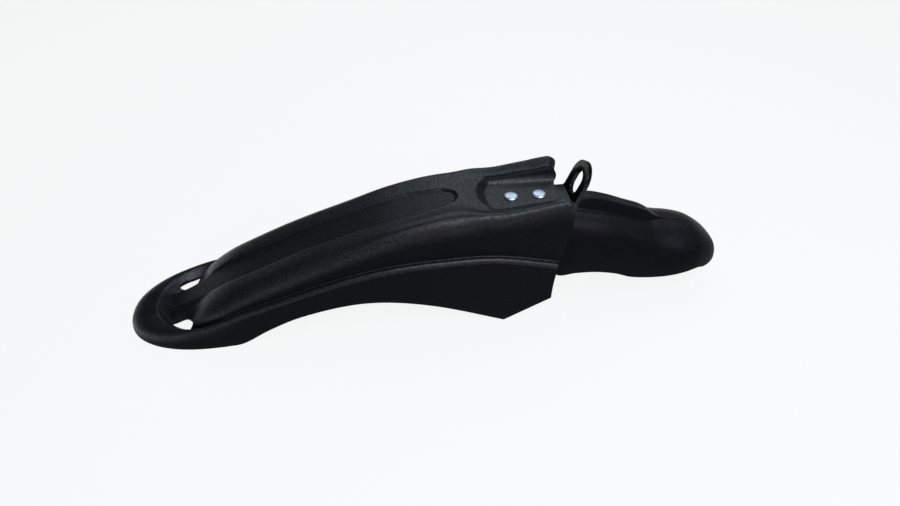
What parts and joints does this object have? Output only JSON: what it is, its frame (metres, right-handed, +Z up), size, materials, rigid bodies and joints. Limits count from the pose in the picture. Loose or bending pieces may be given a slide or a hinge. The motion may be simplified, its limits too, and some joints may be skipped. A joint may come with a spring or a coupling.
{
  "type": "bicycle mudguard",
  "caption": "Front mudguard for a bicycle: a fluted front shell with a pocket for the fork crown, a shorter rear shell and a slotted steel bracket held by rivets.",
  "frame": {"origin": "centre of the bounding box seen from above, at the level the nose rim and the wing tips rest on", "axes": "+X towards the tail, which is the rear of the bicycle, +Z up, Y = 0 is the mirror plane"},
  "size_m": [0.592, 0.107, 0.1421],
  "materials": {
    "front_guard": "black, finely grained, half matte",
    "rear_guard": "black, finely grained, half matte",
    "fork_bracket": "glossy black coating on steel",
    "rivet": "bright, slightly hammered by the rivet set",
    "washer": "zinc plated"
  },
  "bodies": {
    "root": {"front_guard": "front_guard", "rear_guard": "rear_guard", "fork_bracket": "fork_bracket", "front_rivet": "rivet", "rear_rivet": "rivet", "front_rivet_washer": "washer", "rear_rivet_washer": "washer"}
  },
  "joints": []
}
